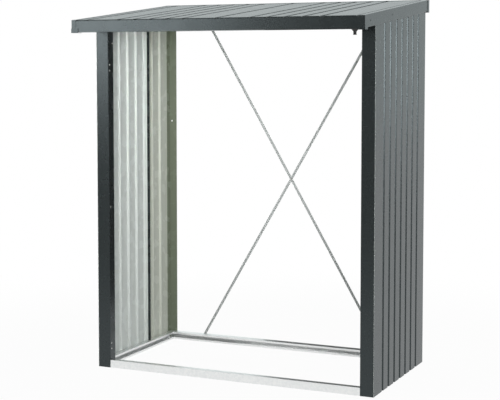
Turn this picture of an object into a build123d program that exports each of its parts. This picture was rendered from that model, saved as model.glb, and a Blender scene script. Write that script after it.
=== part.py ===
from build123d import *
from math import atan, cos, degrees, hypot
import os

# Overall size of the log store, in millimetres
width = 1570.0
depth = 1020.0
height = 1935.0
roof_fall = 117.0

# How far the roof reaches past the walls, and past the rear posts to its trim
side_overhang = 20.0
front_overhang = 209.0
rear_gap = 4.0

# Thicknesses of the sheets
cladding_sheet = 0.8
frame_sheet = 1.5
trim_sheet = 1.0
cap_sheet = 1.5
strap_thickness = 2.0

# Inner radii of the bends
cladding_bend = 1.6
frame_bend = 1.5

# Clearances between pieces that lap over each other
lap_clearance = 0.05
notch_clearance = 2.0

# Grooves rolled into the walls and the roof
groove_pitch = 90.4
groove_mouth = 22.0
groove_floor = 12.0
groove_depth = 12.0
seam_fold = 26.0
seam_lap = 10.0

# Wall grooves are counted from the front face of the posts
first_wall_groove = 135.0
last_wall_groove_margin = 120.0
front_panel_limit = 520.0

# Roof grooves are counted from the seam between the two panels
roof_seam_x = 24.0
roof_edge_margin = 30.0
plain_pitches = 2
roof_front_gap = 14.0

# Posts
front_post_face = 70.0
front_post_return = 54.0
front_post_lip = 14.0
front_post_side = 40.0
rear_post_face = 45.0
rear_post_side = 38.0
rear_post_hole = 5.0
rear_post_hole_inset = 15.0
rear_post_hole_height = 1270.0

# Rails at the floor and under the roof
floor_rail_height = 40.0
floor_rail_flange = 30.0
floor_rail_lip = 10.0
front_rail_setback = 2.0
top_rail_height = 50.0
top_rail_flange = 32.0
top_rail_lip = 12.0
rear_rail_flange = 40.0

# Fascia, gutter and the spout that drains it
fascia_drop = 5.0
fascia_height = 56.0
fascia_hem = 9.0
fascia_hem_slit = 0.3
gutter_width = 77.0
gutter_end_clearance = 0.5
spout_inset = 49.0
spout_bore = 5.0
spout_neck = 9.0
spout_rise = 1.0
spout_mouth = 18.0
spout_pipe = 7.5
spout_flare = 9.0
spout_cone = 12.0
spout_length = 27.0
spout_flare_length = 4.0
spout_clearance = 0.2

# Trim along the roof edges and the caps on its corners
trim_height = 60.0
trim_flange = 29.0
trim_lip = 11.0
cap_front = 25.0
cap_side = 30.0
cap_drop = 4.0
cap_band_height = 22.0
cap_band_front = 40.0
cap_band_side = 36.0
cap_band_step = 1.5
cap_clearance = 1.0

# Crossed straps that brace the open back
strap_width = 14.0
strap_half_span = 550.0
strap_tail = 14.0
strap_joggle = 20.0
strap_hole = 3.2

# Places that follow from the sizes above
front_height = height - roof_fall
roof_front = -depth / 2
roof_back = depth / 2
slope = roof_fall / depth
slope_direction = Vector(0, depth, roof_fall).normalized()
trim_inset = cap_band_step + cap_sheet
trim_face = width / 2 - trim_inset
fascia_front = roof_front + trim_inset
fascia_back = fascia_front + trim_sheet
fascia_top = front_height - fascia_drop
fascia_bottom = fascia_top - fascia_height
rear_trim_back = roof_back - cap_sheet
rear_trim_front = rear_trim_back - trim_sheet
wall_face = width / 2 - side_overhang
base_front = roof_front + front_overhang
base_back = rear_trim_front - rear_gap
post_side_face = wall_face - cladding_sheet
groove_back = wall_face - groove_depth - cladding_sheet
front_post_inner = wall_face - front_post_face
roof_sheet_drop = trim_sheet + lap_clearance
roof_clear_drop = roof_sheet_drop + cladding_sheet + groove_depth
header_back = base_front + top_rail_flange
rear_rail_back = base_back - frame_sheet
rear_rail_front = rear_rail_back - rear_rail_flange
gutter_back = fascia_back + gutter_width
gutter_middle = fascia_back + gutter_width / 2
gutter_end = trim_face - trim_sheet - trim_lip - gutter_end_clearance
spout_x = gutter_end - spout_inset

# Planes that the sections are drawn on
wall_plan = Plane((wall_face, 0, 0), x_dir=(0, 1, 0), z_dir=(0, 0, -1))
roof_section = Plane((0, roof_front, front_height), x_dir=(1, 0, 0), z_dir=(0, -1, 0))


def roof_z(y, drop=0.0):
    """Height of the roof's top face at a depth, less a drop."""
    return front_height + (y - roof_front) * slope - drop


def folded_sheet(path, thickness, plane=Plane.XY, bend=0.0):
    """Section of a folded sheet, laid to the right of its path, with an inner bend radius."""
    points = [complex(*point) for point in path]
    steps = [after - before for before, after in zip(points, points[1:])]
    normals = [-1j * step / abs(step) for step in steps]
    before_each = normals[:1] + normals
    after_each = normals + normals[-1:]
    back, radii, back_radii = [], [], []
    for point, first, second in zip(points, before_each, after_each):
        square = 1 + (first * second.conjugate()).real
        back.append(point + thickness * (first + second) / square)
        turn = (first.conjugate() * second).imag
        inner, outer = bend, bend + abs(thickness)
        near, far = (inner, outer) if turn * thickness > 0 else (outer, inner)
        radii.append(near if bend and turn else 0)
        back_radii.append(far if bend and turn else 0)
    outline = [(point.real, point.imag) for point in points + back[::-1]]
    edge = FilletPolyline(*outline, radius=radii + back_radii[::-1], close=True)
    return plane * make_face(edge)


def up_the_roof(section, start, end):
    """Section from the roof's front edge, run up the slope between two depths."""
    run = (end - start) / cos(atan(slope))
    placed = Pos(0, start - roof_front, (start - roof_front) * slope) * section
    return extrude(placed, amount=run, dir=slope_direction)


def below_roof(shape, drop):
    """What is left of a shape under the sloping roof."""
    level = Plane((0, roof_front, front_height - drop), x_dir=(1, 0, 0), z_dir=(0, -slope, 1))
    return split(shape, bisect_by=level, keep=Keep.BOTTOM)


def block(x_range, y_range, z_range):
    """Box between two corners."""
    low, high = zip(x_range, y_range, z_range)
    size = [b - a for a, b in zip(low, high)]
    return Pos(*low) * Box(*size, align=(Align.MIN, Align.MIN, Align.MIN))


def groove(centre):
    """Path down and up through one groove."""
    return [
        (centre - groove_mouth / 2, 0),
        (centre - groove_floor / 2, -groove_depth),
        (centre + groove_floor / 2, -groove_depth),
        (centre + groove_mouth / 2, 0),
    ]


def seam_before(centre):
    """Edge of the sheet that comes up to a seam: half a groove and a short standing lap."""
    return groove(centre)[:2] + [(centre, -groove_depth), (centre, -groove_depth - seam_lap)]


def seam_after(centre):
    """Edge of the sheet that goes on from a seam, with a taller fold behind the lap."""
    return [(centre, -groove_depth - seam_fold), (centre, -groove_depth)] + groove(centre)[2:]


def other_side(shape):
    """The same piece for the left side."""
    return mirror(shape, about=Plane.YZ)


def wall_panels():
    """Front and rear panel of the right wall, joined by folds at one groove."""
    room = base_back - base_front - first_wall_groove - last_wall_groove_margin
    grooves = int(room / groove_pitch) + 1
    centres = [base_front + first_wall_groove + groove_pitch * i for i in range(grooves)]
    seam = max(centre for centre in centres if centre < base_front + front_panel_limit)
    front_path = [(base_front, 0)]
    rear_path = seam_after(seam)
    for centre in centres:
        if centre < seam:
            front_path += groove(centre)
        elif centre > seam:
            rear_path += groove(centre)
    front_path += seam_before(seam)
    rear_path.append((base_back, 0))
    inner = ((0, groove_back), (base_front, base_back))
    over_floor_rail = block(*inner, (0, floor_rail_height + notch_clearance))
    column = block(*inner, (0, height))
    at_top_rail = column - below_roof(column, roof_clear_drop + top_rail_height + notch_clearance)
    panels = []
    for path in (front_path, rear_path):
        section = folded_sheet(path, cladding_sheet, wall_plan, cladding_bend)
        panel = below_roof(extrude(section, amount=height, dir=(0, 0, 1)), roof_clear_drop)
        panels.append(panel - over_floor_rail - at_top_rail)
    return panels


def front_post():
    """Folded front post: broad face, deep inner return and a lip behind it."""
    lip_x = front_post_inner + front_post_lip
    path = [
        (lip_x, base_front + front_post_return),
        (front_post_inner, base_front + front_post_return),
        (front_post_inner, base_front),
        (post_side_face, base_front),
        (post_side_face, base_front + front_post_side),
    ]
    section = folded_sheet(path, -frame_sheet, bend=frame_bend)
    return below_roof(extrude(section, amount=height), roof_clear_drop)


def rear_post():
    """Angle that closes the rear corner of the wall, with a hole through its rear leg."""
    path = [
        (post_side_face, base_back - rear_post_side),
        (post_side_face, base_back),
        (wall_face - rear_post_face, base_back),
    ]
    section = folded_sheet(path, -frame_sheet, bend=frame_bend)
    post = below_roof(extrude(section, amount=height), roof_clear_drop)
    hole_place = Pos(wall_face - rear_post_hole_inset, base_back, rear_post_hole_height)
    return post - hole_place * Rot(90, 0, 0) * Cylinder(rear_post_hole, 4 * frame_sheet)


def floor_channel(back, front, half_length):
    """Floor rail across the store: a channel with its web at back, open toward front."""
    turn = 1 if front > back else -1
    path = [
        (front, floor_rail_lip),
        (front, 0),
        (back, 0),
        (back, floor_rail_height),
        (front, floor_rail_height),
        (front, floor_rail_height - floor_rail_lip),
    ]
    section = folded_sheet(path, turn * frame_sheet, Plane.YZ)
    return extrude(section, amount=half_length, both=True)


def side_floor_rail():
    """Floor rail along the right wall, seated on the backs of the grooves."""
    inner = groove_back - floor_rail_flange
    path = [
        (inner, floor_rail_lip),
        (inner, 0),
        (groove_back, 0),
        (groove_back, floor_rail_height),
        (inner, floor_rail_height),
        (inner, floor_rail_height - floor_rail_lip),
    ]
    start = base_front + frame_sheet
    plane = Plane((0, start, 0), x_dir=(1, 0, 0), z_dir=(0, -1, 0))
    section = folded_sheet(path, -frame_sheet, plane)
    return extrude(section, amount=rear_rail_front - start, dir=(0, 1, 0))


def side_top_rail():
    """Sloping rail along the top of the right wall, under the roof's grooves."""
    inner = groove_back - top_rail_flange
    top = -roof_clear_drop
    path = [
        (inner, top - top_rail_lip),
        (inner, top),
        (groove_back, top),
        (groove_back, top - top_rail_height),
        (groove_back - top_rail_lip, top - top_rail_height),
    ]
    section = folded_sheet(path, frame_sheet, roof_section)
    return up_the_roof(section, base_front + frame_sheet, rear_rail_front)


def cross_top_rail(web, front, half_length):
    """Rail across the store under the roof, its top flange on the slope."""
    turn = 1 if front > web else -1
    web_top = roof_z(web, roof_clear_drop)
    lip_end = web + turn * top_rail_lip
    path = [
        (front, roof_z(front, roof_clear_drop + top_rail_lip)),
        (front, roof_z(front, roof_clear_drop)),
        (web, web_top),
        (web, web_top - top_rail_height),
        (lip_end, web_top - top_rail_height),
    ]
    section = folded_sheet(path, -turn * frame_sheet, Plane.YZ)
    return extrude(section, amount=half_length, both=True)


def panel_grooves(start, run):
    """Grooves of one roof panel, plain for the first and the last pitches."""
    pitches = int((run - roof_edge_margin) / groove_pitch)
    ribbed = range(plain_pitches, pitches - plain_pitches + 1)
    return [start + groove_pitch * i for i in ribbed], groove_pitch * pitches


def roof_panels():
    """Left and right roof panel, with a standing fold where they meet."""
    edge = trim_face - trim_sheet - cladding_bend
    left_offsets, left_run = panel_grooves(0, edge + roof_seam_x)
    right_centres, right_run = panel_grooves(roof_seam_x, edge - roof_seam_x)
    left_path = [(-edge, 0)] + groove(roof_seam_x - left_run)
    for offset in left_offsets:
        left_path += groove(roof_seam_x - left_run + offset)
    left_path += seam_before(roof_seam_x)
    right_path = seam_after(roof_seam_x)
    for centre in right_centres + [roof_seam_x + right_run]:
        right_path += groove(centre)
    right_path.append((edge, 0))
    start = fascia_back + roof_front_gap
    fold_x = (roof_seam_x - seam_fold, roof_seam_x + seam_fold)
    over_header = block(fold_x, (start, header_back + notch_clearance), (0, height))
    over_rear_rail = block(fold_x, (rear_rail_front - notch_clearance, roof_back), (0, height))
    notches = below_roof(over_header + over_rear_rail, roof_clear_drop)
    panels = []
    for path in (left_path, right_path):
        section = folded_sheet(path, cladding_sheet, roof_section, cladding_bend)
        panel = up_the_roof(section, start, rear_trim_front)
        panels.append(Pos(0, 0, -roof_sheet_drop) * panel - notches)
    return panels


def front_fascia():
    """Tall front face of the gutter, with a hem folded back along its top edge."""
    face = block((-trim_face, trim_face), (fascia_front, fascia_back), (fascia_bottom, fascia_top))
    hem_back = fascia_back + fascia_hem_slit + trim_sheet
    path = [
        (fascia_front, fascia_top - fascia_hem),
        (fascia_front, fascia_top),
        (hem_back, fascia_top),
        (hem_back, fascia_top - fascia_hem),
    ]
    hem = extrude(folded_sheet(path, trim_sheet, Plane.YZ), amount=gutter_end, both=True)
    return face + hem


def gutter_floor():
    """Floor of the trough behind the fascia, with the hole for the spout."""
    y_range = (fascia_back, gutter_back - trim_sheet)
    plate = block((-gutter_end, gutter_end), y_range, (fascia_bottom, fascia_bottom + trim_sheet))
    hole_radius = spout_neck + spout_clearance
    return plate - Pos(spout_x, gutter_middle, fascia_bottom) * Cylinder(hole_radius, 4 * trim_sheet)


def gutter_back_wall():
    """Back of the trough, up to the grooves of the roof."""
    top = roof_z(gutter_back - trim_sheet, roof_clear_drop)
    return block((-gutter_end, gutter_end), (gutter_back - trim_sheet, gutter_back), (fascia_bottom, top))


def gutter_stop():
    """Plate that closes the right end of the trough."""
    top = fascia_top - fascia_hem
    return block(
        (gutter_end - trim_sheet, gutter_end),
        (fascia_back, gutter_back - trim_sheet),
        (fascia_bottom + trim_sheet, top),
    )


def drain_spout():
    """Black spout turned about its bore, pushed up through the gutter's floor."""
    shoulder = trim_sheet + spout_rise
    points = [
        (spout_bore, shoulder),
        (spout_neck, shoulder),
        (spout_neck, 0),
        (spout_mouth, 0),
        (spout_pipe, -spout_cone),
        (spout_pipe, -spout_length + spout_flare_length),
        (spout_flare, -spout_length),
        (spout_bore, -spout_length),
    ]
    profile = Plane.XZ * make_face(Polyline(*points, close=True))
    return Pos(spout_x, gutter_middle, fascia_bottom) * revolve(profile, axis=Axis.Z)


def side_trim():
    """Trim down the right edge of the roof, folded over the sheet and under its edge."""
    path = [
        (trim_face - trim_flange, 0),
        (trim_face, 0),
        (trim_face, -trim_height),
        (trim_face - trim_sheet - trim_lip, -trim_height),
    ]
    section = folded_sheet(path, trim_sheet, roof_section, cladding_bend)
    return up_the_roof(section, fascia_back, rear_trim_front)


def rear_trim():
    """Trim along the rear edge, notched to fit between the side trims."""
    top_front = rear_trim_back - trim_flange
    path = [
        (top_front, roof_z(top_front)),
        (rear_trim_back, roof_z(rear_trim_back)),
        (rear_trim_back, roof_z(rear_trim_back, trim_height)),
    ]
    section = folded_sheet(path, trim_sheet, Plane.YZ)
    trim = extrude(section, amount=trim_face, both=True)
    inner = trim_face - trim_flange
    notch = block((inner, width), (0, rear_trim_front), (0, 2 * height))
    return trim - notch - other_side(notch)


def corner_cap(roof_edge, inward, bottom, band_height=0.0):
    """Cap over a corner of the trim: face, side and floor, with or without a band below."""
    shell_y = roof_edge + inward * (cap_band_step if band_height else 0)
    inner_y = shell_y + inward * cap_sheet

    def corner(x_face, y_face, face, side, top):
        y_range = sorted((y_face, y_face + inward * side))
        return block((x_face - face, x_face), y_range, (bottom, top))

    shell = corner(width / 2 - cap_band_step, shell_y, cap_front, cap_side, height)
    cap = below_roof(shell, 0)
    if band_height:
        cap += corner(width / 2, roof_edge, cap_band_front, cap_band_side, bottom + band_height)
    hollow_y = sorted((inner_y, inner_y + inward * (cap_side + cap_band_side)))
    hollow = block((0, trim_face), hollow_y, (bottom + cap_sheet, 2 * height))
    body_y = (base_front - cap_clearance, base_back + cap_clearance)
    body = block((0, wall_face + cap_clearance), body_y, (0, 2 * height))
    return cap - hollow - body


def strap(joggled):
    """Flat strap across the back, drawn along its length and turned to its slope."""
    top_z = roof_z(rear_rail_back, roof_clear_drop) - top_rail_height / 2
    bottom_z = floor_rail_height / 2
    reach = hypot(strap_half_span, (top_z - bottom_z) / 2)
    end = reach + strap_tail
    lift = strap_thickness if joggled else 0
    path = [
        (-end, 0),
        (-end + strap_joggle + strap_tail, 0),
        (-end + 2 * strap_joggle + strap_tail, lift),
        (end - 2 * strap_joggle - strap_tail, lift),
        (end - strap_joggle - strap_tail, 0),
        (end, 0),
    ]
    if not joggled:
        path = [(-end, 0), (end, 0)]
    section = folded_sheet(path, -strap_thickness)
    rounded = Plane.XZ * SlotOverall(2 * end, strap_width)
    flat = extrude(section, amount=strap_width, both=True)
    flat = flat & extrude(rounded, amount=2 * strap_joggle, both=True)
    for place in (-reach, reach):
        flat -= Pos(place, 0, 0) * Rot(90, 0, 0) * Cylinder(strap_hole, 6 * strap_thickness)
    flat -= Rot(90, 0, 0) * Cylinder(strap_hole, 6 * strap_thickness)
    angle = degrees(atan((top_z - bottom_z) / (2 * strap_half_span)))
    turned = Rot(0, angle if joggled else -angle, 0) * flat
    return Pos(0, rear_rail_back, (top_z + bottom_z) / 2) * turned


front_wall_panel, rear_wall_panel = wall_panels()
left_roof_panel, right_roof_panel = roof_panels()
web_front = base_front + front_rail_setback
front_cap = corner_cap(roof_front, 1, fascia_bottom - cap_drop, cap_band_height)
rear_cap_front = roof_back - cap_side
rear_cap = corner_cap(roof_back, -1, roof_z(rear_cap_front, trim_height + cap_drop))
cross_half = post_side_face - frame_sheet - frame_bend

pieces = {
    "front_floor_rail": floor_channel(web_front, web_front + floor_rail_flange, front_post_inner),
    "rear_floor_rail": floor_channel(rear_rail_back, rear_rail_front, cross_half),
    "front_header": cross_top_rail(base_front, header_back, front_post_inner),
    "rear_top_rail": cross_top_rail(rear_rail_back, rear_rail_front, cross_half),
    "left_roof_panel": left_roof_panel,
    "right_roof_panel": right_roof_panel,
    "front_fascia": front_fascia(),
    "gutter_floor": gutter_floor(),
    "gutter_back_wall": gutter_back_wall(),
    "drain_spout": drain_spout(),
    "rear_roof_trim": rear_trim(),
    "rising_brace": strap(False),
    "falling_brace": strap(True),
}
paired_pieces = {
    "front_{}_post": front_post(),
    "rear_{}_post": rear_post(),
    "{}_floor_rail": side_floor_rail(),
    "{}_top_rail": side_top_rail(),
    "{}_front_wall": front_wall_panel,
    "{}_rear_wall": rear_wall_panel,
    "{}_gutter_end": gutter_stop(),
    "{}_roof_trim": side_trim(),
    "front_{}_corner_cap": front_cap,
    "rear_{}_corner_cap": rear_cap,
}
for name, piece in paired_pieces.items():
    pieces[name.format("right")] = piece
    pieces[name.format("left")] = other_side(piece)

os.makedirs("parts", exist_ok=True)
for name, piece in pieces.items():
    export_step(piece, f"parts/{name}.step")
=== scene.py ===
from math import radians

import bmesh
import bpy
from mathutils import Matrix, Vector


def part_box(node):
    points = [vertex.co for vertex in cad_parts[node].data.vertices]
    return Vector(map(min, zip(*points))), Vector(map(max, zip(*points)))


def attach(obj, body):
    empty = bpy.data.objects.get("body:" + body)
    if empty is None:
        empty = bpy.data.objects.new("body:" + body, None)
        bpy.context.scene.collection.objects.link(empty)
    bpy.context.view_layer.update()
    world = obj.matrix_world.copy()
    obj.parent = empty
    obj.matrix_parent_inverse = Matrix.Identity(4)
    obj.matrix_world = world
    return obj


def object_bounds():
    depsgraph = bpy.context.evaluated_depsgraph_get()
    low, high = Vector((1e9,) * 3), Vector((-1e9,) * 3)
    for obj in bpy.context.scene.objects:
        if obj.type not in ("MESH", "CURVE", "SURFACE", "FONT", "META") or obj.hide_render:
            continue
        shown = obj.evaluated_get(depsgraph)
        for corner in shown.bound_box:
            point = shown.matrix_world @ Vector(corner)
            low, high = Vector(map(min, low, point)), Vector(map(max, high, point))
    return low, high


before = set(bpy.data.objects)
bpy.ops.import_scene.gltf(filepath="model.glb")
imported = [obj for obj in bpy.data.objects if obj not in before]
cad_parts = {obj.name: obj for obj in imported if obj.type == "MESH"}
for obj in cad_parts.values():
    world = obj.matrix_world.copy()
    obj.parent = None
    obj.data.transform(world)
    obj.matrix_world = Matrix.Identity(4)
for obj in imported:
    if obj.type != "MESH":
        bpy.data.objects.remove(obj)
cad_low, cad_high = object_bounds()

# Camera: on a stand well back, to the right of the open front and a little under the
# eaves. Its long lens keeps the uprights nearly parallel.
camera_place = Vector((2.693, -5.955, 1.587))
camera_tilt = -3.82
camera_heading = 24.517
camera_lens = 90.66
camera_sensor = 36
camera_shift = -0.1

scene = bpy.context.scene
scene.view_settings.view_transform = "Standard"
camera_data = bpy.data.cameras.new("camera")
camera_data.lens = camera_lens
camera_data.sensor_width = camera_sensor
camera_data.shift_y = camera_shift
camera = bpy.data.objects.new("camera", camera_data)
camera.location = camera_place
camera.rotation_euler = (radians(90 + camera_tilt), 0, radians(camera_heading))
scene.collection.objects.link(camera)
scene.camera = camera

# Lamps: a key softbox on the right and five weaker lamps. Only two of them show in the
# coating: the left softbox in the front faces, and the groove softbox in the grooves of
# the right wall.
lamps = {
    "key_softbox": {"place": (4.4, -5.3, 2.5), "aim": (-0.3, -0.1, 2.0), "size": 2.3, "watts": 175},
    "raking_lamp": {"place": (1.6, -5.7, 1.5), "aim": (-0.7, -0.1, 1.75), "size": 0.9, "watts": 10,
                    "spread": 40},
    "groove_softbox": {"place": (3.8, -5.7, 1.75), "aim": (0.77, 0, 1.7), "size": 1.4, "watts": 105},
    "left_softbox": {"place": (-3.65, -5.4, 2.53), "aim": (-1.16, -0.3, 2.53), "size": 2.2, "watts": 95},
    "side_lamp": {"place": (5.2, 0.9, 3.4), "aim": (0.7, 0.1, 0.9), "size": 3.5, "watts": 60},
    "top_lamp": {"place": (-0.5, 0.9, 6.0), "aim": (0, 0.3, 1.5), "size": 4.0, "watts": 60},
}
mirrored_lamps = ("groove_softbox", "left_softbox")
full_spread = 180

for lamp_name, lamp in lamps.items():
    lamp_data = bpy.data.lights.new(lamp_name, "AREA")
    lamp_data.shape = "SQUARE"
    lamp_data.size = lamp["size"]
    lamp_data.energy = lamp["watts"]
    lamp_data.spread = radians(lamp.get("spread", full_spread))
    lamp_object = bpy.data.objects.new(lamp_name, lamp_data)
    lamp_object.location = lamp["place"]
    lamp_object.visible_glossy = lamp_name in mirrored_lamps
    aim = Vector(lamp["aim"]) - Vector(lamp["place"])
    lamp_object.rotation_euler = aim.to_track_quat("-Z", "Y").to_euler()
    scene.collection.objects.link(lamp_object)

# Surround: plain white to the camera. The coating mirrors it as white behind and beside
# the store and dark in front, and the light it gives is soft and dim.
surround_hex = "#f8ffff"
white_hex = "#ffffff"
mirrored_front = 0.1
mirrored_limits = (-0.75, 0.1)
fill_front = 0.2
fill_back = 0.45
fill_limits = (-1.0, 0.5)


def linear(hex_colour):
    """sRGB hex value as a linear RGBA colour."""
    parts = [int(hex_colour[i:i + 2], 16) / 255 for i in (1, 3, 5)]
    return [c / 12.92 if c <= 0.04045 else ((c + 0.055) / 1.055) ** 2.4 for c in parts] + [1.0]


def add_node(tree, kind, settings=None, links=None, values=None):
    """A shader node with its settings, what feeds its sockets, and their plain values.

    In a Mix node, sockets 2 and 3 are the two numbers, and 6 and 7 the two colours.
    """
    made = tree.nodes.new(kind)
    for key, value in (settings or {}).items():
        setattr(made, key, value)
    for key, value in (values or {}).items():
        made.inputs[key].default_value = value
    for key, socket in (links or {}).items():
        tree.links.new(socket, made.inputs[key])
    return made


world = bpy.data.worlds.new("white_surround")
world.use_nodes = True
scene.world = world
tree = world.node_tree
tree.nodes.clear()
path = add_node(tree, "ShaderNodeLightPath")
whole = add_node(tree, "ShaderNodeMath", {"operation": "MAXIMUM"},
                 {0: path.outputs["Is Camera Ray"], 1: path.outputs["Is Transmission Ray"]})
bright = add_node(tree, "ShaderNodeMath", {"operation": "MAXIMUM"},
                  {0: whole.outputs[0], 1: path.outputs["Is Glossy Ray"]})
direction = add_node(tree, "ShaderNodeTexCoord")
split = add_node(tree, "ShaderNodeSeparateXYZ", links={0: direction.outputs["Generated"]})
mirrored = add_node(tree, "ShaderNodeMapRange", {"interpolation_type": "SMOOTHSTEP"},
                    {"Value": split.outputs["Y"]},
                    {"From Min": mirrored_limits[0], "From Max": mirrored_limits[1],
                     "To Min": mirrored_front, "To Max": 1.0})
fill = add_node(tree, "ShaderNodeMapRange", {"interpolation_type": "SMOOTHSTEP"},
                {"Value": split.outputs["Y"]},
                {"From Min": fill_limits[0], "From Max": fill_limits[1],
                 "To Min": fill_front, "To Max": fill_back})
shaded = add_node(tree, "ShaderNodeMix", {"data_type": "FLOAT"},
                  {"Factor": bright.outputs[0], 2: fill.outputs[0], 3: mirrored.outputs[0]})
strength = add_node(tree, "ShaderNodeMix", {"data_type": "FLOAT"},
                    {"Factor": whole.outputs[0], 2: shaded.outputs[0]}, {3: 1.0})
tone = add_node(tree, "ShaderNodeMix", {"data_type": "RGBA"}, {"Factor": whole.outputs[0]},
                {6: linear(surround_hex), 7: linear(white_hex)})
surround = add_node(tree, "ShaderNodeBackground",
                    links={"Strength": strength.outputs[0], "Color": tone.outputs[2]})
add_node(tree, "ShaderNodeOutputWorld", links={"Surface": surround.outputs[0]})

# Floor: white studio paper. It keeps the store's shadow and fades to white further out,
# and the coating mirrors it as white near the store and behind it.
floor_side = 60.0
floor_hex = "#bcbcbb"
floor_roughness = 0.9
floor_specular = 0.1
floor_whitened = 0.965
floor_fade = (1.4, 3.4)
floor_mirrored = 0.95
floor_near = (1.8, 4.2)
floor_behind = (-0.4, 1.6)

floor_mesh = bpy.data.meshes.new("studio_floor")
bm = bmesh.new()
bmesh.ops.create_grid(bm, x_segments=1, y_segments=1, size=floor_side / 2)
bm.to_mesh(floor_mesh)
bm.free()
studio_floor = bpy.data.objects.new("studio_floor", floor_mesh)
scene.collection.objects.link(studio_floor)
floor_paper = bpy.data.materials.new("white_studio_paper")
floor_paper.use_nodes = True
tree = floor_paper.node_tree
paper = tree.nodes["Principled BSDF"]
paper.inputs["Base Color"].default_value = linear(floor_hex)
paper.inputs["Roughness"].default_value = floor_roughness
paper.inputs["Specular IOR Level"].default_value = floor_specular
path = add_node(tree, "ShaderNodeLightPath")
place = add_node(tree, "ShaderNodeTexCoord")
reach = add_node(tree, "ShaderNodeVectorMath", {"operation": "LENGTH"}, {0: place.outputs["Object"]})
fade = add_node(tree, "ShaderNodeMapRange", {"interpolation_type": "SMOOTHSTEP"},
                {"Value": reach.outputs["Value"]},
                {"From Min": floor_fade[0], "From Max": floor_fade[1],
                 "To Min": floor_whitened, "To Max": 1.0})
seen = add_node(tree, "ShaderNodeMath", {"operation": "MULTIPLY"},
                {0: fade.outputs[0], 1: path.outputs["Is Camera Ray"]})
near = add_node(tree, "ShaderNodeMapRange", {"interpolation_type": "SMOOTHSTEP"},
                {"Value": reach.outputs["Value"]},
                {"From Min": floor_near[0], "From Max": floor_near[1],
                 "To Min": floor_mirrored, "To Max": 0.0})
split = add_node(tree, "ShaderNodeSeparateXYZ", links={0: place.outputs["Object"]})
behind = add_node(tree, "ShaderNodeMapRange", {"interpolation_type": "SMOOTHSTEP"},
                  {"Value": split.outputs["Y"]},
                  {"From Min": floor_behind[0], "From Max": floor_behind[1],
                   "To Min": 0.0, "To Max": floor_mirrored})
either = add_node(tree, "ShaderNodeMath", {"operation": "MAXIMUM"},
                  {0: near.outputs[0], 1: behind.outputs[0]})
mirrored = add_node(tree, "ShaderNodeMath", {"operation": "MULTIPLY"},
                    {0: path.outputs["Is Glossy Ray"], 1: either.outputs[0]})
whiteness = add_node(tree, "ShaderNodeMath", {"operation": "MAXIMUM"},
                     {0: seen.outputs[0], 1: mirrored.outputs[0]})
glow = add_node(tree, "ShaderNodeEmission", values={"Color": linear(white_hex), "Strength": 1.0})
whitened = add_node(tree, "ShaderNodeMixShader",
                    links={0: whiteness.outputs[0], 1: paper.outputs[0], 2: glow.outputs[0]})
tree.links.new(whitened.outputs[0], tree.nodes["Material Output"].inputs["Surface"])
floor_mesh.materials.append(floor_paper)

# Black flag: a dark cloth that stands behind the store and shows only in reflections,
# where it keeps the lower right of the fascia and posts from washing out.
flag_span = (-0.45, 0.6)
flag_depth = 1.15
flag_height = 1.9
flag_half_unit = 0.5
flag_hex = "#0a0a0a"
flag_roughness = 1.0
flag_specular = 0.0

flag_mesh = bpy.data.meshes.new("black_flag")
bm = bmesh.new()
bmesh.ops.create_grid(bm, x_segments=1, y_segments=1, size=flag_half_unit)
bmesh.ops.scale(bm, verts=bm.verts, vec=(flag_span[1] - flag_span[0], flag_height, 1))
bmesh.ops.rotate(bm, verts=bm.verts, matrix=Matrix.Rotation(radians(90), 3, "X"))
bmesh.ops.translate(bm, verts=bm.verts, vec=(sum(flag_span) / 2, flag_depth, flag_height / 2))
bm.to_mesh(flag_mesh)
bm.free()
black_flag = bpy.data.objects.new("black_flag", flag_mesh)
scene.collection.objects.link(black_flag)
for sight in ("visible_camera", "visible_diffuse", "visible_transmission", "visible_shadow"):
    setattr(black_flag, sight, False)
flag_cloth = bpy.data.materials.new("black_flag_cloth")
flag_cloth.use_nodes = True
cloth = flag_cloth.node_tree.nodes["Principled BSDF"]
cloth.inputs["Base Color"].default_value = linear(flag_hex)
cloth.inputs["Roughness"].default_value = flag_roughness
cloth.inputs["Specular IOR Level"].default_value = flag_specular
flag_mesh.materials.append(flag_cloth)

# Frame, gutter and trims: folded steel sheet with a dark grey powder coating, stoved on
# before the store is screwed together. Fine flakes under a satin film give a faint
# sparkle close up, and the thin sheet bends what it mirrors a little.
coat_hex = "#1c1f1f"
flake_hex = "#272b2b"
coat_glint_hex = "#e9faff"
coat_metallic = 0.1
coat_roughness = 0.27
coat_specular = 0.6
flake_size = 0.0012
flake_detail = 1.0
flake_limits = (0.45, 0.75)
haze_size = 0.06
haze_detail = 3.0
haze_limits = (0.3, 0.7)
haze_spread = 0.015
peel_size = 0.0025
peel_relief = 0.0000015
sheet_wave_width = 0.2
sheet_wave_length = 1.0
sheet_wave_relief = 0.00006
plain_noise = 0.0
mapped_scale = 1.0


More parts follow.
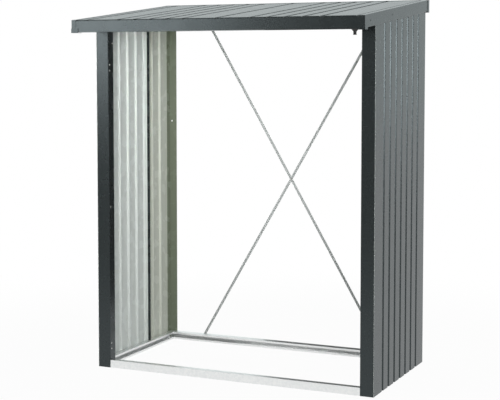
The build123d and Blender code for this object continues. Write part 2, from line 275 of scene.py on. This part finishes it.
def coated_steel(name):
    """Powder-coated sheet steel: flakes, fine orange peel and the sheet's slight waves.

    The real flakes and peel are finer, and are drawn coarse enough to show.
    """
    material = bpy.data.materials.new(name)
    material.use_nodes = True
    tree = material.node_tree
    shader = tree.nodes["Principled BSDF"]
    shader.inputs["Metallic"].default_value = coat_metallic
    shader.inputs["Specular IOR Level"].default_value = coat_specular
    shader.inputs["Specular Tint"].default_value = linear(coat_glint_hex)
    place = add_node(tree, "ShaderNodeTexCoord")
    flakes = add_node(tree, "ShaderNodeTexNoise", links={"Vector": place.outputs["Object"]},
                      values={"Scale": 1 / flake_size, "Detail": flake_detail})
    sparkle = add_node(tree, "ShaderNodeMapRange", links={"Value": flakes.outputs["Fac"]},
                       values={"From Min": flake_limits[0], "From Max": flake_limits[1]})
    colour = add_node(tree, "ShaderNodeMix", {"data_type": "RGBA", "label": "coat colour"},
                      {"Factor": sparkle.outputs[0]}, {6: linear(coat_hex), 7: linear(flake_hex)})
    tree.links.new(colour.outputs[2], shader.inputs["Base Color"])
    haze = add_node(tree, "ShaderNodeTexNoise", links={"Vector": place.outputs["Object"]},
                    values={"Scale": 1 / haze_size, "Detail": haze_detail})
    rough = add_node(tree, "ShaderNodeMapRange", links={"Value": haze.outputs["Fac"]},
                     values={"From Min": haze_limits[0], "From Max": haze_limits[1],
                             "To Min": coat_roughness - haze_spread,
                             "To Max": coat_roughness + haze_spread})
    tree.links.new(rough.outputs[0], shader.inputs["Roughness"])
    peel = add_node(tree, "ShaderNodeTexNoise", links={"Vector": place.outputs["Object"]},
                    values={"Scale": 1 / peel_size, "Detail": plain_noise})
    fine = add_node(tree, "ShaderNodeBump", links={"Height": peel.outputs["Fac"]},
                    values={"Strength": 1.0, "Distance": peel_relief})
    drawn = add_node(tree, "ShaderNodeMapping", links={"Vector": place.outputs["Object"]},
                     values={"Scale": (1 / sheet_wave_width, 1 / sheet_wave_width, 1 / sheet_wave_length)})
    wave = add_node(tree, "ShaderNodeTexNoise", links={"Vector": drawn.outputs[0]},
                    values={"Scale": mapped_scale, "Detail": plain_noise})
    broad = add_node(tree, "ShaderNodeBump",
                     links={"Height": wave.outputs["Fac"], "Normal": fine.outputs[0]},
                     values={"Strength": 1.0, "Distance": sheet_wave_relief})
    tree.links.new(broad.outputs[0], shader.inputs["Normal"])
    return material


def dress(nodes, material):
    """Gives a finish to CAD nodes."""
    for name in nodes:
        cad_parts[name].data.materials.clear()
        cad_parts[name].data.materials.append(material)


coated = coated_steel("powder_coated_steel")
dress(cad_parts, coated)

# Wall panels: roll-formed steel sheet in two lapping lengths a side, dark outside and
# primed pale grey inside. Where they meet, the rear panel's fold stands taller than the
# front panel's lap and turns its dark face to the opening.
primer_hexes = ("#cdd1ce", "#c8cdc9")
# The rear panels' primer is drawn darker and greener than the front panels': painted shade.
shaded_rear_primer_hexes = ("#bdc0b6", "#b9bcb2")
primer_specular = 0.25
streak_width = 0.05
streak_length = 1.5
streak_detail = 1.0
outside_least = 0.1
wall_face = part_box("right_front_wall")[1][0]
fold_depth = 0.0135
fold_reach = wall_face - fold_depth
fold_least = 0.5
# Painted shade in the roof's grooves: the depth over which it fades in, and how much of the coat's colour
# and specular it leaves.
groove_shade_fade = 0.002
groove_shade_factor = 0.1
wall_sides = {"left": (-1, 0, 0), "right": (1, 0, 0)}


def two_tone_sheet(name, outward, fold_facing=0, inner=primer_hexes, groove_way=(0, 0, 0), groove_level=0.0):
    """Sheet coated dark on the side that faces outward, with faintly streaked primer inside.

    With fold_facing at 1 or -1, a fold that stands inside the bay is dark on its rear or front face too.
    Below groove_level, which is measured along groove_way, the coat's colour and specular are darkened as
    painted shade in the grooves, and without a groove_way nothing is darkened.
    """
    material = coated_steel(name)
    tree = material.node_tree
    shader = tree.nodes["Principled BSDF"]
    coat = next(node for node in tree.nodes if node.label == "coat colour")
    facing = add_node(tree, "ShaderNodeNewGeometry")
    toward = add_node(tree, "ShaderNodeVectorMath", {"operation": "DOT_PRODUCT"},
                      {0: facing.outputs["True Normal"]}, {1: outward})
    dark = add_node(tree, "ShaderNodeMath", {"operation": "GREATER_THAN"},
                    {0: toward.outputs["Value"]}, {1: outside_least})
    place = add_node(tree, "ShaderNodeTexCoord")
    if fold_facing:
        split = add_node(tree, "ShaderNodeSeparateXYZ", links={0: place.outputs["Object"]})
        side = add_node(tree, "ShaderNodeMath", {"operation": "ABSOLUTE"}, {0: split.outputs["X"]})
        fold = add_node(tree, "ShaderNodeMath", {"operation": "LESS_THAN"},
                        {0: side.outputs[0]}, {1: fold_reach})
        along = add_node(tree, "ShaderNodeVectorMath", {"operation": "DOT_PRODUCT"},
                         {0: facing.outputs["True Normal"]}, {1: (0, fold_facing, 0)})
        turned = add_node(tree, "ShaderNodeMath", {"operation": "GREATER_THAN"},
                          {0: along.outputs["Value"]}, {1: fold_least})
        coated_fold = add_node(tree, "ShaderNodeMath", {"operation": "MULTIPLY"},
                               {0: fold.outputs[0], 1: turned.outputs[0]})
        dark = add_node(tree, "ShaderNodeMath", {"operation": "MAXIMUM"},
                        {0: dark.outputs[0], 1: coated_fold.outputs[0]})
    streaks = add_node(tree, "ShaderNodeMapping", links={"Vector": place.outputs["Object"]},
                       values={"Scale": (1 / streak_width, 1 / streak_width, 1 / streak_length)})
    mottle = add_node(tree, "ShaderNodeTexNoise", links={"Vector": streaks.outputs[0]},
                      values={"Scale": mapped_scale, "Detail": streak_detail})
    primer = add_node(tree, "ShaderNodeMix", {"data_type": "RGBA"}, {"Factor": mottle.outputs["Fac"]},
                      {6: linear(inner[0]), 7: linear(inner[1])})
    # Painted shade: below groove_level the coat's colour and specular are scaled down, to stand for the
    # shade in the grooves.
    depth = add_node(tree, "ShaderNodeVectorMath", {"operation": "DOT_PRODUCT"},
                     {0: place.outputs["Object"]}, {1: groove_way})
    groove_unshaded = add_node(tree, "ShaderNodeMapRange", {"interpolation_type": "SMOOTHSTEP"},
                     {"Value": depth.outputs["Value"]},
                     {"From Min": groove_level - groove_shade_fade, "From Max": groove_level,
                      "To Min": groove_shade_factor, "To Max": 1.0})
    groove_shaded_coat = add_node(tree, "ShaderNodeVectorMath", {"operation": "SCALE"},
                      {0: coat.outputs[2], "Scale": groove_unshaded.outputs[0]})
    colour = add_node(tree, "ShaderNodeMix", {"data_type": "RGBA"},
                      {"Factor": dark.outputs[0], 6: primer.outputs[2], 7: groove_shaded_coat.outputs[0]})
    tree.links.new(colour.outputs[2], shader.inputs["Base Color"])
    sheen = add_node(tree, "ShaderNodeMapRange", links={"Value": dark.outputs[0]},
                     values={"To Min": primer_specular, "To Max": coat_specular})
    groove_shaded_specular = add_node(tree, "ShaderNodeMath", {"operation": "MULTIPLY"},
                      {0: sheen.outputs[0], 1: groove_unshaded.outputs[0]})
    tree.links.new(groove_shaded_specular.outputs[0], shader.inputs["Specular IOR Level"])
    metal = add_node(tree, "ShaderNodeMath", {"operation": "MULTIPLY"},
                     {0: dark.outputs[0]}, {1: coat_metallic})
    tree.links.new(metal.outputs[0], shader.inputs["Metallic"])
    return material


for side, outward in wall_sides.items():
    front_sheet = two_tone_sheet(side + "_front_wall_sheet", outward, 1)
    rear_sheet = two_tone_sheet(side + "_rear_wall_sheet", outward, -1, shaded_rear_primer_hexes)
    dress((side + "_front_wall",), front_sheet)
    dress((side + "_rear_wall",), rear_sheet)

# Rear posts: folded steel angles that stand inside the walls' rear ends, coated dark outside. Their primed
# inner faces are drawn a dark greyish olive, as painted shade from the walls.
shaded_olive_primer_hexes = ("#757c6b", "#6e7564")

for side, outward in wall_sides.items():
    post_outward = (outward[0], 1, 0)
    post_sheet = two_tone_sheet(side + "_rear_post_sheet", post_outward, inner=shaded_olive_primer_hexes)
    dress(("rear_" + side + "_post",), post_sheet)

# Roof panels: the same roll-formed sheet, dark above and pale below, laid with its grooves down the fall and
# joined by one standing fold. The grooves are darkened with painted shade, in both the coat's colour and its
# specular.
roof_fall = 0.117
roof_run = 1.02
roof_slope = roof_fall / roof_run
roof_front_y = cad_low[1]
roof_front_z = cad_high[2] - roof_fall
# The painted groove shade starts this far below the roof sheet's upper face.
groove_shade_depth = 0.002
groove_shade_top = roof_front_z - roof_front_y * roof_slope - groove_shade_depth

roof_sheet = two_tone_sheet("roof_sheet", (0, 0, 1), groove_way=(0, -roof_slope, 1), groove_level=groove_shade_top)
dress(("left_roof_panel", "right_roof_panel"), roof_sheet)

# Drip edge: the front of the roof sheet is rolled down between the grooves, so that
# rain leaves it over the gutter. It is the sheet's own dark face, bent round 5 mm.
drip_radius = 0.005
drip_steps = 6
sheet_thickness = 0.0008
sheet_drop = 0.00105
rib_pitch = 0.0904
half_mouth = 0.011
roof_seam = 0.024
left_rib_steps = (8, 6, 5, 4, 3, 2, 0)
right_rib_steps = (2, 3, 4, 5, 6, 8)
roof_ribs = [roof_seam - rib_pitch * step for step in left_rib_steps]
roof_ribs += [roof_seam + rib_pitch * step for step in right_rib_steps]
left_end, sheet_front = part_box("left_roof_panel")[0][:2]
right_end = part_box("right_roof_panel")[1][0]


def sheet_top(y):
    """Height of the roof sheet's upper face at a depth."""
    return roof_front_z + (y - roof_front_y) * roof_slope - sheet_drop


bm = bmesh.new()
flat_starts = [left_end] + [rib + half_mouth for rib in roof_ribs]
flat_ends = [rib - half_mouth for rib in roof_ribs] + [right_end]
for start, end in zip(flat_starts, flat_ends):
    corners = [bm.verts.new((x, sheet_front, sheet_top(sheet_front))) for x in (start, end)]
    edge = bm.edges.new(corners)
    bmesh.ops.spin(bm, geom=[edge] + corners, cent=(0, sheet_front, sheet_top(sheet_front) - drip_radius),
                   axis=(1, 0, 0), angle=radians(90), steps=drip_steps, use_merge=False)
bmesh.ops.recalc_face_normals(bm, faces=bm.faces)
bmesh.ops.solidify(bm, geom=bm.faces[:], thickness=sheet_thickness)
drip_mesh = bpy.data.meshes.new("roof_drip_edge")
bm.to_mesh(drip_mesh)
bm.free()
roof_drip_edge = bpy.data.objects.new("roof_drip_edge", drip_mesh)
scene.collection.objects.link(roof_drip_edge)
drip_mesh.materials.append(coated)
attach(roof_drip_edge, "root")

# Floor rails: folded from hot-dip galvanised strip and left bright, so they show the
# coating's frosted crystals.
zinc_hex = "#f1f2f1"
zinc_dark_hex = "#e9ebeb"
zinc_metallic = 0.8
crystal_size = 0.009
crystal_spread = 0.06
grain_size = 0.004
grain_detail = 2.0
rail_roughness = 0.36
rail_relief = 0.000008


def galvanised_steel(name, light_hex, dark_hex, roughness, relief, metallic=zinc_metallic):
    """Hot-dip zinc: crystals that each catch the light a little differently."""
    material = bpy.data.materials.new(name)
    material.use_nodes = True
    tree = material.node_tree
    shader = tree.nodes["Principled BSDF"]
    shader.inputs["Metallic"].default_value = metallic
    place = add_node(tree, "ShaderNodeTexCoord")
    crystals = add_node(tree, "ShaderNodeTexVoronoi", {"feature": "F1"},
                        {"Vector": place.outputs["Object"]}, {"Scale": 1 / crystal_size})
    shade = add_node(tree, "ShaderNodeSeparateColor", links={0: crystals.outputs["Color"]})
    colour = add_node(tree, "ShaderNodeMix", {"data_type": "RGBA"}, {"Factor": shade.outputs[0]},
                      {6: linear(dark_hex), 7: linear(light_hex)})
    tree.links.new(colour.outputs[2], shader.inputs["Base Color"])
    rough = add_node(tree, "ShaderNodeMapRange", links={"Value": shade.outputs[1]},
                     values={"To Min": roughness - crystal_spread, "To Max": roughness + crystal_spread})
    tree.links.new(rough.outputs[0], shader.inputs["Roughness"])
    grain = add_node(tree, "ShaderNodeTexNoise", links={"Vector": place.outputs["Object"]},
                     values={"Scale": 1 / grain_size, "Detail": grain_detail})
    bump = add_node(tree, "ShaderNodeBump", links={"Height": grain.outputs["Fac"]},
                    values={"Strength": 1.0, "Distance": relief})
    tree.links.new(bump.outputs[0], shader.inputs["Normal"])
    return material


rail_zinc = galvanised_steel("galvanised_rail_steel", zinc_hex, zinc_dark_hex, rail_roughness, rail_relief)
dress(("front_floor_rail", "rear_floor_rail", "left_floor_rail", "right_floor_rail"), rail_zinc)

# Braces: two flat galvanised straps crossed behind the bay and bolted together where
# they cross. Their zinc has dulled to a mid grey.
strap_hex = "#b0b3b2"
strap_dark_hex = "#abafae"
strap_roughness = 0.5
strap_relief = 0.000004
strap_metallic = 0.05

strap_zinc = galvanised_steel("dull_galvanised_strap", strap_hex, strap_dark_hex, strap_roughness,
                              strap_relief, strap_metallic)
dress(("rising_brace", "falling_brace"), strap_zinc)

# Drain spout: black polypropylene, moulded in one piece and pushed up through the
# gutter's floor. The mould leaves its skin satin, with a fine grain that is drawn
# coarser than it is, so that it shows.
moulding_hex = "#141414"
skin_size = 0.0012
skin_detail = 2.0
skin_roughness = (0.4, 0.55)
skin_relief = 0.00004

moulding = bpy.data.materials.new("black_moulded_polypropylene")
moulding.use_nodes = True
tree = moulding.node_tree
shader = tree.nodes["Principled BSDF"]
shader.inputs["Base Color"].default_value = linear(moulding_hex)
place = add_node(tree, "ShaderNodeTexCoord")
skin = add_node(tree, "ShaderNodeTexNoise", links={"Vector": place.outputs["Object"]},
                values={"Scale": 1 / skin_size, "Detail": skin_detail})
rough = add_node(tree, "ShaderNodeMapRange", links={"Value": skin.outputs["Fac"]},
                 values={"To Min": skin_roughness[0], "To Max": skin_roughness[1]})
tree.links.new(rough.outputs[0], shader.inputs["Roughness"])
bump = add_node(tree, "ShaderNodeBump", links={"Height": skin.outputs["Fac"]},
                values={"Distance": skin_relief})
tree.links.new(bump.outputs[0], shader.inputs["Normal"])
dress(("drain_spout",), moulding)

# Post screws: bright zinc-plated self-tappers with a low pan head and a sunk recess.
# They go through each front post's inner face and join it to the header and the rails.
plated_hex = "#e6e6e2"
plated_dark_hex = "#d2d3d0"
plated_roughness = 0.25
plated_relief = 0.00003
head_sides = 14
head_taper = 0.82
rim_rounding = 0.4
recess_inset = 0.3
recess_depth = 0.45
post_head_radius = 0.0038
post_head_height = 0.0022
post_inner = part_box("front_left_post")[1][0]
post_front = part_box("front_left_post")[0][1]
post_screw_setback = 0.014
post_screw_heights = (1.593, 1.563, 0.850, 0.129, 0.0995)
header_screw_setback = 0.042
header_screw_height = 1.704
post_screws = [(post_screw_setback, height) for height in post_screw_heights]
post_screws.append((header_screw_setback, header_screw_height))


def add_screw(bm, place, axis, radius, height):
    """Pan head standing on a face, with its rim rounded and its recess sunk."""
    turn = Vector(axis).to_track_quat("Z", "Y").to_matrix().to_4x4()
    middle = Vector(place) + Vector(axis).normalized() * height / 2
    made = bmesh.ops.create_cone(bm, cap_ends=True, segments=head_sides, radius1=radius,
                                 radius2=radius * head_taper, depth=height,
                                 matrix=Matrix.Translation(middle) @ turn)
    crown = max((face for vert in made["verts"] for face in vert.link_faces),
                key=lambda face: face.normal.dot(Vector(axis)) if len(face.verts) == head_sides else -1)
    bmesh.ops.bevel(bm, geom=list(crown.edges), offset=height * rim_rounding, segments=2, profile=0.5,
                    affect="EDGES", material=-1)
    crown = max((face for face in bm.faces if len(face.verts) == head_sides),
                key=lambda face: -(face.calc_center_median() - middle - Vector(axis) * height / 2).length)
    bmesh.ops.inset_individual(bm, faces=[crown], thickness=radius * recess_inset)
    bmesh.ops.translate(bm, verts=crown.verts, vec=-Vector(axis).normalized() * height * recess_depth)


def fastener_piece(name, bm, material):
    """Makes one piece of a set of like fasteners."""
    mesh = bpy.data.meshes.new(name)
    bm.to_mesh(mesh)
    bm.free()
    piece = bpy.data.objects.new(name, mesh)
    scene.collection.objects.link(piece)
    mesh.materials.append(material)
    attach(piece, "root")


plated = galvanised_steel("zinc_plated_screw_steel", plated_hex, plated_dark_hex, plated_roughness,
                          plated_relief)
bm = bmesh.new()
for side in (-1, 1):
    for setback, height in post_screws:
        screw_place = (-side * post_inner, post_front + setback, height)
        add_screw(bm, screw_place, (-side, 0, 0), post_head_radius, post_head_height)
fastener_piece("post_screws", bm, plated)

# Cladding screws: the same self-tappers, coated to match the sheet. They go through the
# foot of each wall groove, both ends of each roof groove, and the roof's side trims.
coated_head_radius = 0.0036
groove_head_height = 0.002
groove_sink = 0.012
wall_rib_start = 0.135
wall_rib_count = 7
wall_foot_height = 0.02
trim_head_height = 0.0012
trim_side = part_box("right_roof_trim")[1][0]
trim_setbacks = (-0.125, 0.2)
trim_screw_drop = 0.03
header_screw_inset = 0.016
front_screw_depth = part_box("front_header")[1][1] - header_screw_inset
rail_screw_inset = 0.02
rear_screw_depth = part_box("rear_top_rail")[0][1] + rail_screw_inset
roof_normal = Vector((0, -roof_slope, 1)).normalized()

bm = bmesh.new()
wall_ribs = [post_front + wall_rib_start + rib_pitch * step for step in range(wall_rib_count)]
for side in (-1, 1):
    for rib in wall_ribs:
        screw_place = (side * (wall_face - groove_sink), rib, wall_foot_height)
        add_screw(bm, screw_place, (side, 0, 0), coated_head_radius, groove_head_height)
    for setback in trim_setbacks:
        trim_height = sheet_top(post_front + setback) - trim_screw_drop
        screw_place = (side * trim_side, post_front + setback, trim_height)
        add_screw(bm, screw_place, (side, 0, 0), coated_head_radius, trim_head_height)
for rib in roof_ribs:
    for depth in (front_screw_depth, rear_screw_depth):
        if rib != roof_seam:
            screw_place = (rib, depth, sheet_top(depth) - groove_sink)
            add_screw(bm, screw_place, roof_normal, coated_head_radius, groove_head_height)
fastener_piece("coated_screws", bm, coated)

# Strap bolts: one M6 hexagon bolt with a washer at each end of a strap and one through
# both where they cross, with its nut on the bay's side.
bolt_across = 0.010
across_to_radius = 1.732
head_height = 0.0031
head_rounding = 0.0004
washer_radius = 0.0062
washer_taper = 0.97
washer_thickness = 0.0008
washer_sides = 28
shank_radius = 0.003
shank_end_radius = 0.0026
shank_length = 0.003
shank_reach = 0.0065
shank_sides = 16
half_span = 0.55
strap_thickness = 0.002
rail_thickness = 0.0015
strap_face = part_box("rising_brace")[0][1]
low_bolt = 0.02
high_bolt_rise = 0.025
high_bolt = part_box("rear_top_rail")[0][2] + high_bolt_rise
end_bolts = [(x, strap_face, z) for x in (-half_span, half_span) for z in (low_bolt, high_bolt)]
cross_bolt = (0, strap_face, (low_bolt + high_bolt) / 2)
bolts = [(place, strap_thickness, -rail_thickness) for place in end_bolts]
bolts.append((cross_bolt, 2 * strap_thickness, 0.0))

bm = bmesh.new()
for (x, y, z), behind, before in bolts:
    for face_y, way in ((y + behind, 1), (y + before, -1)):
        upright = Matrix.Rotation(radians(-90 * way), 4, "X")
        washer_place = Matrix.Translation((x, face_y + way * washer_thickness / 2, z))
        bmesh.ops.create_cone(bm, cap_ends=True, segments=washer_sides, radius1=washer_radius,
                              radius2=washer_radius * washer_taper, depth=washer_thickness,
                              matrix=washer_place @ upright)
        head_place = Matrix.Translation((x, face_y + way * (washer_thickness + head_height / 2), z))
        head = bmesh.ops.create_cone(bm, cap_ends=True, segments=6, radius1=bolt_across / across_to_radius,
                                     radius2=bolt_across / across_to_radius, depth=head_height,
                                     matrix=head_place @ upright)
        edges = {edge for vert in head["verts"] for edge in vert.link_edges}
        bmesh.ops.bevel(bm, geom=list(edges), offset=head_rounding, segments=2, profile=0.5,
                        affect="EDGES", material=-1)
    shank_turn = Matrix.Rotation(radians(90), 4, "X")
    shank_place = Matrix.Translation((x, y + before - shank_reach, z))
    bmesh.ops.create_cone(bm, cap_ends=True, segments=shank_sides, radius1=shank_radius,
                          radius2=shank_end_radius, depth=shank_length, matrix=shank_place @ shank_turn)
fastener_piece("strap_bolts", bm, plated)
